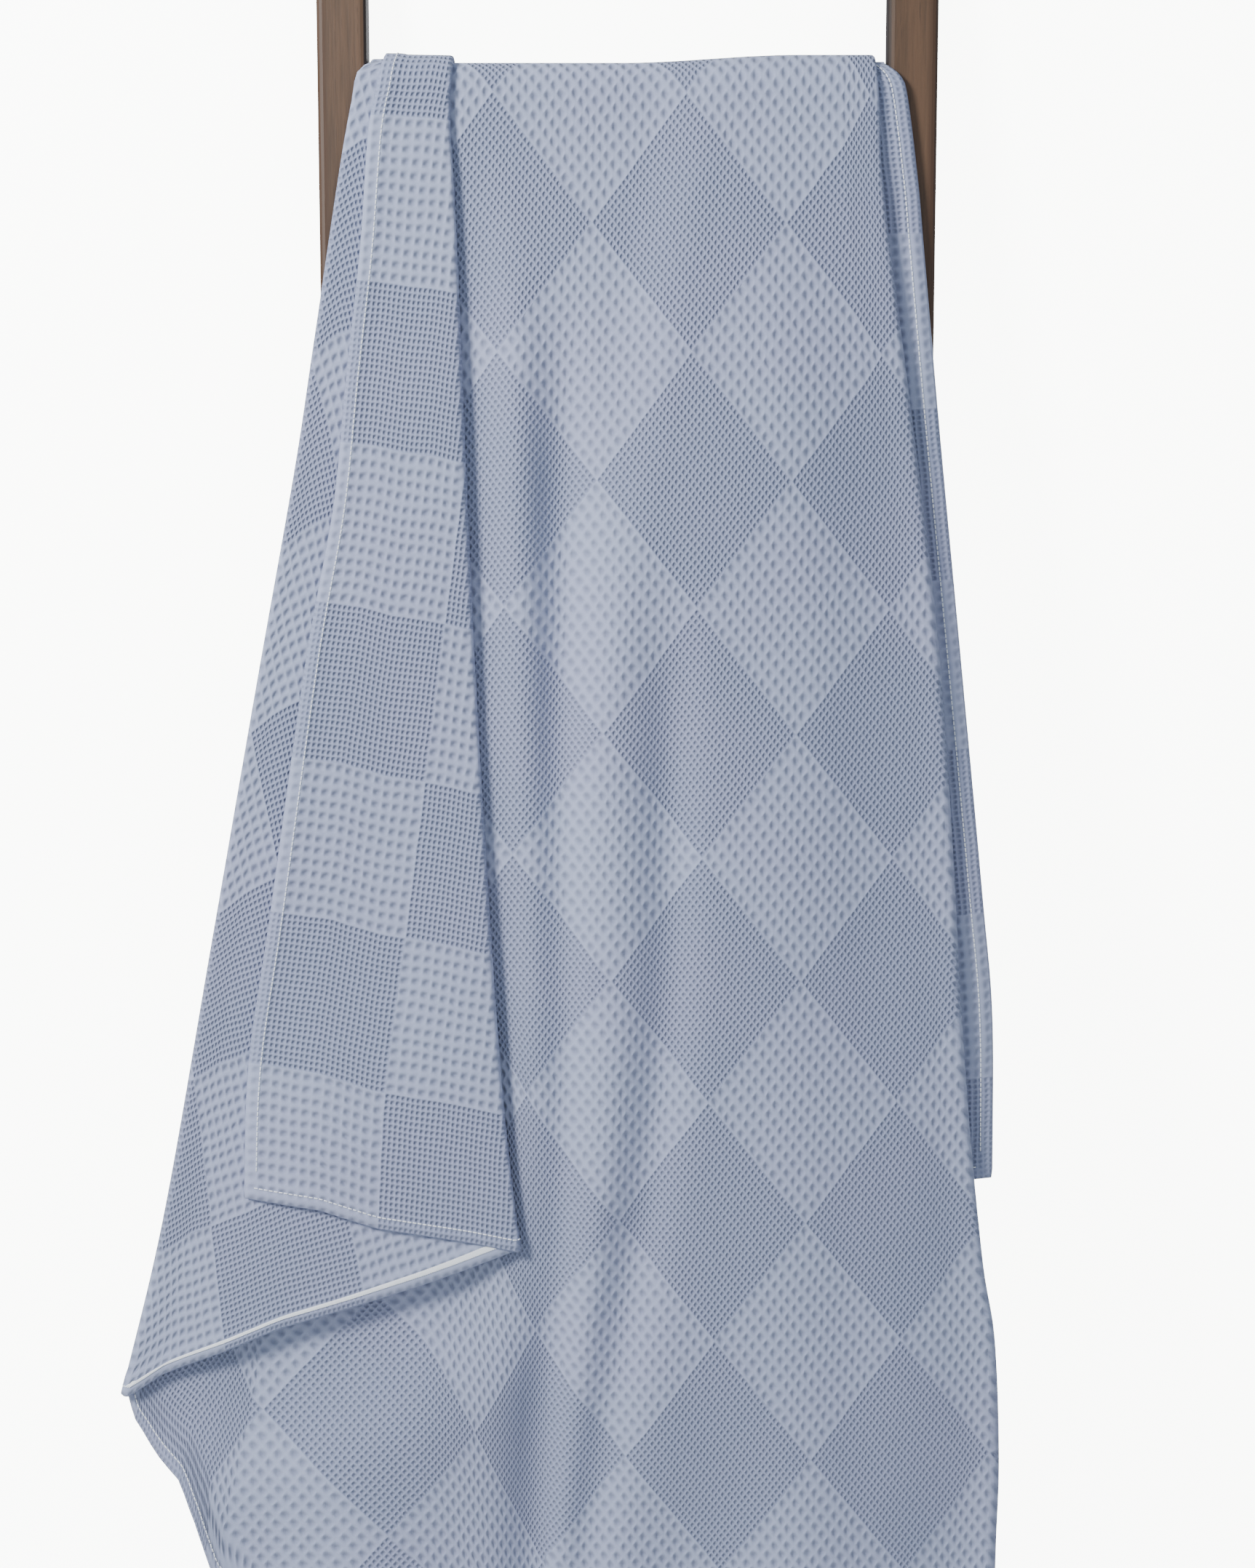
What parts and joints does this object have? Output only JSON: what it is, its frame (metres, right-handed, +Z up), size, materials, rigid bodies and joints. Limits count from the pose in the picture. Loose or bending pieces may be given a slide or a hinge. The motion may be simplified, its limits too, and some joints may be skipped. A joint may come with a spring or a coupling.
{
  "type": "quilt on a rack",
  "caption": "Woven cotton quilt in a waffle check, hung cornerwise over the top rung of a leaning wooden blanket rack.",
  "frame": {"origin": "on the floor, midway between the two rails", "axes": "+Z up, +X to the right of someone facing the rack, +Y towards the wall that the rack leans on"},
  "size_m": [0.7367, 0.3112, 1.9618],
  "materials": {
    "wood": "dark walnut stain, satin lacquer",
    "cotton": "washed cotton, blue-grey, waffle weave in a check of coarse and fine cells",
    "steel": "zinc plated",
    "rubber": "matt"
  },
  "bodies": {
    "rack": {"left_rail": "wood", "right_rail": "wood", "rung_1": "wood", "rung_2": "wood", "rung_3": "wood", "rung_4": "wood", "rung_5": "wood", "left_screw_1": "steel", "left_screw_2": "steel", "left_screw_3": "steel", "left_screw_4": "steel", "left_screw_5": "steel", "right_screw_1": "steel", "right_screw_2": "steel", "right_screw_3": "steel", "right_screw_4": "steel", "right_screw_5": "steel", "left_screw_cap_1": "wood", "left_screw_cap_2": "wood", "left_screw_cap_3": "wood", "left_screw_cap_4": "wood", "left_screw_cap_5": "wood", "right_screw_cap_1": "wood", "right_screw_cap_2": "wood", "right_screw_cap_3": "wood", "right_screw_cap_4": "wood", "right_screw_cap_5": "wood", "left_foot_pad": "rubber", "left_wall_pad": "rubber", "right_foot_pad": "rubber", "right_wall_pad": "rubber"},
    "quilt": {"quilt": "cotton"}
  },
  "joints": [
    {"name": "quilt_lift", "type": "slide", "parent": "rack", "child": "quilt", "axis": [0, 0.1392, 0.9903], "range_m": [0, 1.9]}
  ]
}
